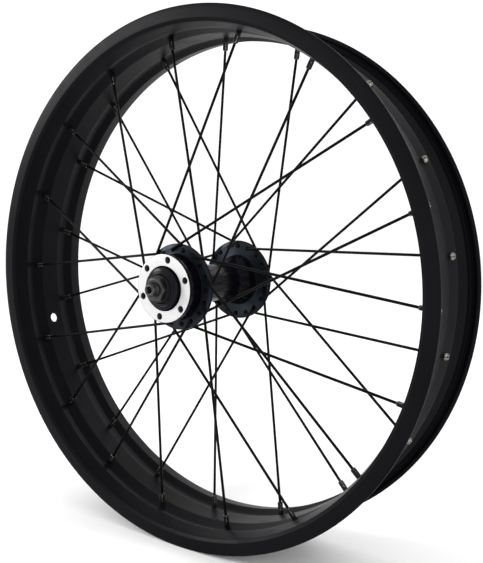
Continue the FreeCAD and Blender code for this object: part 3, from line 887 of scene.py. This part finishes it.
def hub_section():
    """The shell's section, from the rotor face over both flanges and back down the bore."""
    boss_back = HUB_DISC_END + BOSS_DEPTH
    face = FLANGE_OUT + FLANGE_HALF
    corners = [(HUB_DISC_END, MOUTH_R, MOUTH_ROUND, 10), (HUB_DISC_END, BOSS_R, BOSS_ROUND),
               (boss_back, BOSS_R, BOSS_ROUND), (boss_back + NECK_TAPER, NECK_R, NECK_ROUND, 3),
               (-face, NECK_R, NECK_ROUND)]
    corners += flange_corners(DISC_SIDE)
    corners += backwards(flare_corners(DISC_SIDE, BARREL_R))
    corners += [(WAIST_OUT, BARREL_R, WAIST_ROUND),
                (WAIST_OUT + WAIST_STEP, WAIST_R, WAIST_ROUND)]
    corners += flare_corners(FAR_SIDE, WAIST_R)
    corners += backwards(flange_corners(FAR_SIDE))
    corners += [(face, FAR_BOSS_R, NECK_ROUND, 2), (HUB_FAR_END, FAR_BOSS_R, FAR_BOSS_ROUND),
                (HUB_FAR_END, MOUTH_R, MOUTH_ROUND)]
    corners += bore_corners(FAR_SIDE, HUB_FAR_END)
    corners += bore_corners(DISC_SIDE, -HUB_DISC_END)[::-1]
    return outline(corners)


def hub_materials(section):
    """The material of each row: bare on the rotor face, a lighter blue-grey painted sheen on the
    flanges' faces.
    """
    materials = []
    for ends in zip(section, section[1:] + section[:1]):
        on_rotor_face = all(out < HUB_DISC_END + TOUCH for out, _ in ends)
        on_flange = all(abs(abs(out) - FLANGE_OUT) < FLANGE_HALF + TOUCH for out, _ in ends)
        low_end = min(radius for _, radius in ends)
        if on_rotor_face:
            materials.append(BARE_FACE)
        # the flanges' faces get the painted sheen
        elif on_flange and FAR_BOSS_R < low_end < FLANGE_R - SMALL:
            materials.append(FLANGE_SHEEN_FACE)
        else:
            materials.append(HUB_FACE)
    return materials


def build_hub():
    """The hub shell, with its spoke holes and its six tapped rotor holes."""
    section = hub_section()
    turns = HUB_TURNS
    angles = [360 / turns * index for index in range(turns)]
    skip = set()
    through, blind = [], []
    for side in SIDE_NAMES:
        for hub_angle, _, outboard in lacing(side):
            i = round(hub_angle % 360 * turns / 360)
            edges = []
            for out in (side * (FLANGE_OUT + FLANGE_HALF), side * (FLANGE_OUT - FLANGE_HALF)):
                rows = sorted(nearest_row(section, out, radius)
                              for radius in (PATCH_LOW_R, PATCH_HIGH_R))
                cells, edge = block(i - HUB_HOLE_REACH, i + HUB_HOLE_REACH, *rows, turns)
                skip |= cells
                edges.append(edge)
            through.append((side, hub_angle, outboard, edges))
    for angle in ROTOR_ANGLES:
        i = round(angle * turns / 360)
        rows = sorted(nearest_row(section, HUB_DISC_END, radius) for radius in ROTOR_PATCH_R)
        cells, edge = block(i - ROTOR_REACH, i + ROTOR_REACH, *rows, turns)
        skip |= cells
        blind.append((angle, edge))

    bm = bmesh.new()
    columns = lathe(bm, section, angles, skip, hub_materials(section))
    for side, hub_angle, outboard, edges in through:
        axis = Vector((0, side, 0))
        base = at(HOLE_CIRCLE_R, hub_angle, side * FLANGE_OUT)
        loops = [[columns[i][j] for i, j in edge] for edge in edges]
        loops[1] = matched_loop(loops[1], loops[0], base, axis)
        rings = [loops[0]]
        for way, loop, sink in ((1, loops[0], outboard), (-1, loops[1], not outboard)):
            mouth_r = HUB_SINK_R if sink else HUB_HOLE_R + HUB_HOLE_BEVEL
            depth = HUB_SINK_DEPTH if sink else HUB_HOLE_BEVEL
            mouth = [ring_round(bm, loop, base, axis, mouth_r, height=way * FLANGE_HALF),
                     ring_round(bm, loop, base, axis, HUB_HOLE_R,
                                height=way * (FLANGE_HALF - depth))]
            rings += mouth if way == 1 else mouth[::-1]
        rings.append(loops[1])
        chain(bm, rings, [FLANGE_SHEEN_FACE, HUB_FACE, HUB_FACE, HUB_FACE, FLANGE_SHEEN_FACE])
    for angle, edge in blind:
        axis = Vector((0, 1, 0))
        base = at(ROTOR_R, angle, HUB_DISC_END)
        loop = [columns[i][j] for i, j in edge]
        rings = [loop, ring_round(bm, loop, base, axis, ROTOR_HOLE_R + ROTOR_BEVEL)]
        for step in range(ROTOR_THREADS + 1):
            radius = ROTOR_HOLE_R - (ROTOR_THREAD_DEPTH if step % 2 == 0 and step else 0)
            run = (ROTOR_HOLE_DEPTH - ROTOR_THREAD_SHORT) * step / ROTOR_THREADS
            rings.append(ring_round(bm, loop, base, axis, radius, height=ROTOR_BEVEL + run))
        rings.append(ring_round(bm, loop, base, axis, ROTOR_TIP_R, height=ROTOR_TIP_DEPTH))
        # the threads and the hole's tip get the painted shade
        chain(bm, rings, [BARE_FACE] * 2 + [THREAD_SHADE_FACE] * (ROTOR_THREADS + 1))
        seal(bm, rings[-1], THREAD_SHADE_FACE)
    piece("vis_hub_shell", bm, [HUB_BLACK, MACHINED, TAPPED_PAINTED_SHADE, FLANGE_PAINTED_SHEEN], "wheel",
          ["hub_shell"])


# ------------------------------------------------------------ covers, nuts and axle

THREAD_BORE_R = 5.03                       # the bore of what screws or slides on the axle

def build_cap(side, name):
    """The pressed cover, with a rolled brim and a shallow pressed ring on its front."""
    node = "dust_cap_" + name
    low, high, radius = node_extent(node)
    back, front = sorted((abs(low), abs(high)))
    wall, hole = 1.2, 10.9
    brim = front - 1.7
    corners = [(back, radius - wall), (back, radius, 0.2), (brim, radius, 1.1),
               (brim + 0.75, radius - 2.3, 0.4), (brim + 0.6, radius - 2.7, 0.3),
               (front, hole + 0.5, 0.4), (front - 0.5, hole, 0.3),
               (front - wall, hole, 0.2), (brim - wall + 0.3, radius - wall, 0.6)]
    bm = bmesh.new()
    lathe(bm, outline(corners, side, steps=5), [3 * k for k in range(120)])
    piece("vis_" + node, bm, [CAP_BLACK], "wheel", [node], sharp=50)


def build_boot(side, name):
    """The rubber boot, with a rounded lip and a groove."""
    node = "seal_boot_" + name
    low, high, radius = node_extent(node)
    back, front = sorted((abs(low), abs(high)))
    bore = 8.52
    corners = [(back, bore), (back, radius - 0.2, 0.2), (back + 0.7, radius, 0.2),
               (front - 0.35, radius - 0.1, 0.3), (front, radius - 0.7, 0.3),
               (front - 0.25, radius - 1.1, 0.15), (front - 0.05, bore + 0.3, 0.15),
               (front - 0.2, bore)]
    bm = bmesh.new()
    lathe(bm, outline(corners, side, steps=4), [4 * k for k in range(90)])
    piece("vis_" + node, bm, [BOOT_RUBBER], "axle_assembly", [node], sharp=60)


def build_washer(side, name):
    """The keyed washer under a locknut, with its edge rounded."""
    node = "washer_" + name
    low, high, radius = node_extent(node)
    back, front = sorted((abs(low), abs(high)))
    corners = [(back, THREAD_BORE_R, 0.1), (back, radius, 0.3), (front, radius, 0.35),
               (front, THREAD_BORE_R, 0.1)]
    bm = bmesh.new()
    lathe(bm, outline(corners, side, steps=4), [4 * k for k in range(90)])
    piece("vis_" + node, bm, [WASHER_STEEL], "axle_assembly", [node], sharp=60)


def build_locknut(side, name):
    """A hexagon nut with its corners turned down to a round face, and edges worn grey."""
    node = "locknut_" + name
    low, high, _ = node_extent(node)
    base, face = sorted((abs(low), abs(high)))
    flats, face_r, slope, bore = 17.0, 8.0, math.tan(math.radians(30)), THREAD_BORE_R
    corner_r = flats / 2 / math.cos(math.radians(30)) - 0.12
    bm = bmesh.new()
    wear = bm.verts.layers.float.new("wear")
    turns = 96

    def section(angle):
        """The nut's section at an angle: its knee drops where the hexagon stands out."""
        from_flat = angle % 60 - 30
        hexagon = min(flats / 2 / math.cos(math.radians(from_flat)), corner_r)
        knee = face - (hexagon - face_r) * slope
        points = [(base, bore + 0.3), (base, hexagon - 0.25), (base + 0.15, hexagon - 0.05),
                  (base + 0.35, hexagon), (knee - 0.2, hexagon), (knee, hexagon - 0.04),
                  (knee + 0.12, hexagon - 0.26), (face - 0.06, face_r + 0.06),
                  (face, face_r - 0.15), (face, bore + 0.55), (face - 0.1, bore + 0.35),
                  (face - 0.5, bore), (base + 0.3, bore)]
        return [(side * out, radius) for out, radius in points]

    columns = lathe(bm, section, [360 / turns * k for k in range(turns)])
    rubbed = (0.2, 0.6, 0.5, 0.0, 0.0, 1.0, 0.8, 0.7, 0.9, 0.3, 0.8, 0.2, 0.0)
    for k, column in enumerate(columns):
        at_corner = k % (turns // 6) == 0
        for vertex, amount in zip(column, rubbed):
            vertex[wear] = 0.9 if at_corner else amount
    piece("vis_" + node, bm, [NUT_BLACK], "axle_assembly", [node], sharp=35)


def build_axle():
    """The hollow axle, threaded from under each locknut inwards, with plain turned ends."""
    high, radius = node_extent("axle")[1:]
    bore = MOUNTS["skewer_bore"]["dims"]["r_mm"]
    end_r = MOUNTS["axle_end_far"]["dims"]["r_mm"]
    end_start = high - 5.3
    pitch, depth, chamfer, thread_start = 1.0, 0.45, 0.7, 58.0
    rows_per_turn = 6
    tip = [(high, bore + 0.3), (high, end_r - chamfer - 0.1), (high - 0.1, end_r - chamfer),
           (high - chamfer, end_r - 0.05), (high - chamfer - 0.15, end_r), (end_start, end_r)]
    thread_rows = int((end_start - thread_start) * rows_per_turn / pitch)

    def half(side, angle):
        """One half of the outside, from its end face to the last turn of the thread."""
        points = list(tip)
        for row in range(1, thread_rows + 1):
            out = end_start - row * pitch / rows_per_turn
            phase = (side * out / pitch - angle / 360) % 1
            fade = min(1.0, row / rows_per_turn, (thread_rows - row) / rows_per_turn)
            points.append((out, radius - depth * abs(2 * phase - 1) * fade))
        return [(side * out, r) for out, r in points]

    def section(angle):
        """The axle's section at an angle, which makes the thread run as a helix."""
        outside = half(DISC_SIDE, angle) + [(0.0, radius)] + half(FAR_SIDE, angle)[::-1]
        return outside + [(high - 0.3, bore), (0.0, bore), (0.3 - high, bore)]

    bm = bmesh.new()
    lathe(bm, section, [5 * k for k in range(72)])
    piece("vis_axle", bm, [AXLE_STEEL], "axle_assembly", ["axle"], sharp=50)


def dress_node(node, material):
    """Give a CAD node that keeps its own mesh a finished material and smooth shading."""
    mesh = frame["nodes"][node].data
    mesh.materials.clear()
    mesh.materials.append(material)
    mesh.shade_smooth()
    mesh.set_sharp_from_angle(angle=math.radians(30))


# ------------------------------------------------------------ studio

def build_studio():
    """A pale floor under the wheel, a white world and soft lights."""
    low, high = CAD_BOX
    floor_half = 6.0                       # metres
    corners = [(-floor_half, -floor_half), (floor_half, -floor_half), (floor_half, floor_half),
               (-floor_half, floor_half)]
    mesh = bpy.data.meshes.new("floor")
    mesh.from_pydata([(x, y, low.z) for x, y in corners], [], [(0, 1, 2, 3)])
    floor = bpy.data.objects.new("floor", mesh)
    bpy.context.scene.collection.objects.link(floor)
    g = Graph("floor_pale", specular=0.2)
    g.colour(g.ramp(g.noise(3, 2), [(0.3, grey(0.9)), (0.7, grey(0.94))]))
    g.roughness(g.range(g.noise(5, 2), 0.7, 0.8))
    mesh.materials.append(g.material)

    world = bpy.data.worlds.new("studio")
    world.use_nodes = True
    background = world.node_tree.nodes["Background"]
    background.inputs["Color"].default_value = (1.0, 1.0, 1.0, 1.0)
    background.inputs["Strength"].default_value = 1.15
    bpy.context.scene.world = world
    bpy.context.scene.view_settings.view_transform = "Standard"

    def area(name, place, aim, size, power):
        light = bpy.data.lights.new(name, "AREA")
        light.shape = "DISK"
        light.size = size
        light.energy = power
        obj = bpy.data.objects.new(name, light)
        obj.location = place
        obj.rotation_euler = (Vector(aim) - Vector(place)).to_track_quat("-Z", "Y").to_euler()
        bpy.context.scene.collection.objects.link(obj)

    middle = (low + high) / 2
    area("key", (-1.4, -1.1, 0.6), middle, 0.5, 18)
    area("fill", (1.6, -0.6, 0.5), middle, 1.0, 6)
    area("back", (0.2, 1.5, 1.0), middle, 1.0, 4)


def build_camera():
    """A near, low viewpoint, turned from the disc side."""
    data = bpy.data.cameras.new("camera")
    data.lens, data.sensor_width = CAMERA_LENS, CAMERA_SENSOR
    data.shift_x, data.shift_y = CAMERA_SHIFT
    camera = bpy.data.objects.new("camera", data)
    camera.location = CAMERA_PLACE
    camera.rotation_euler = (math.radians(90 - CAMERA_DROP), 0, math.radians(CAMERA_TURN))
    bpy.context.scene.collection.objects.link(camera)
    bpy.context.scene.camera = camera


build_rim(build_lacing())
build_hub()
build_axle()
for side, name in SIDE_NAMES.items():
    build_cap(side, name)
    build_boot(side, name)
    build_washer(side, name)
    build_locknut(side, name)
    dress_node("bearing_cup_" + name, RACE_STEEL)
    dress_node("bearing_cone_" + name, RACE_STEEL)
    dress_node("bearing_balls_" + name, BALL_STEEL)
    dress_node("ball_retainer_" + name, RETAINER_STEEL)
build_studio()
build_camera()
